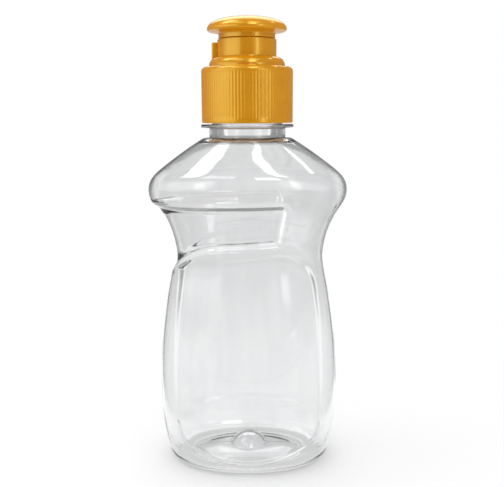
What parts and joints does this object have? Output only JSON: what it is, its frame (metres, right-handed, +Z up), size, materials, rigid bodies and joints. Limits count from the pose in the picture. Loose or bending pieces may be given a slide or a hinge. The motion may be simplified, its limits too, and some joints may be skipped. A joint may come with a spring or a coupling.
{
  "type": "soap bottle",
  "caption": "Clear oval waisted soap bottle with a grip recess, label panels, a ribbed screw cap and a push-pull pouring spout.",
  "frame": {"origin": "centre of the base, on the plane the bottle stands on", "axes": "+Z up along the neck, +X across the wide way towards the side without the grip recess, -Y the front face"},
  "size_m": [0.0718, 0.051, 0.1611],
  "materials": {
    "clear_plastic": "clear blown plastic, glossy",
    "gold_plastic": "satin pearlescent gold",
    "white_foam": "matt closed-cell foam"
  },
  "bodies": {
    "bottle": {"bottle": "clear_plastic"},
    "washer": {"sealing_washer": "white_foam"},
    "cap": {"screw_cap": "gold_plastic"},
    "spout": {"pull_spout": "gold_plastic"}
  },
  "joints": [
    {"name": "washer_lift", "type": "slide", "parent": "bottle", "child": "washer", "axis": [0, 0, 1], "range_m": [0, 0.00635]},
    {"name": "cap_turn", "type": "hinge", "parent": "washer", "child": "cap", "pos_m": [0, 0, 0.1426], "axis": [0, 0, 1], "range_deg": [0, 540]},
    {"name": "spout_slide", "type": "slide", "parent": "cap", "child": "spout", "axis": [0, 0, 1], "range_m": [0, 0.0045]}
  ],
  "couplings": [
    {"joint": "washer_lift", "follows": "cap_turn", "m_per_rad": 0.00067323}
  ]
}
